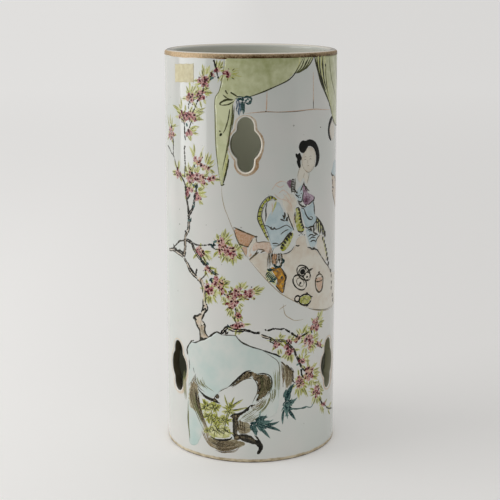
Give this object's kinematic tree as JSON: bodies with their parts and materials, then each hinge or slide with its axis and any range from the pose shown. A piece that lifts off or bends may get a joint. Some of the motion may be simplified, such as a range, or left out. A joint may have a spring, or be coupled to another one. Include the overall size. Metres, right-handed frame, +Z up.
{
  "type": "hat stand",
  "caption": "Open porcelain cylinder with lobed vent openings through its wall and a recessed base, made to hold a hat on its rim.",
  "frame": {"origin": "middle of the foot ring, on the surface that the stand rests on", "axes": "+Z up along the cylinder, -Y towards the painted front"},
  "size_m": [0.122, 0.1225, 0.282],
  "materials": {
    "porcelain": "clear glossy glaze over white porcelain with painted enamels",
    "rim_line": "worn iron-red and gilt line, fired over the glaze",
    "opening_line": "thin worn gilt line, fired over the glaze",
    "paper": "old yellowed paper, blank"
  },
  "bodies": {
    "root": {"wall": "porcelain", "base_disc": "porcelain", "rim_line": "rim_line", "upper_front_opening_line": "opening_line", "upper_right_opening_line": "opening_line", "upper_left_opening_line": "opening_line", "lower_right_opening_line": "opening_line", "lower_rear_opening_line": "opening_line", "lower_left_opening_line": "opening_line", "paper_label": "paper"}
  },
  "joints": []
}
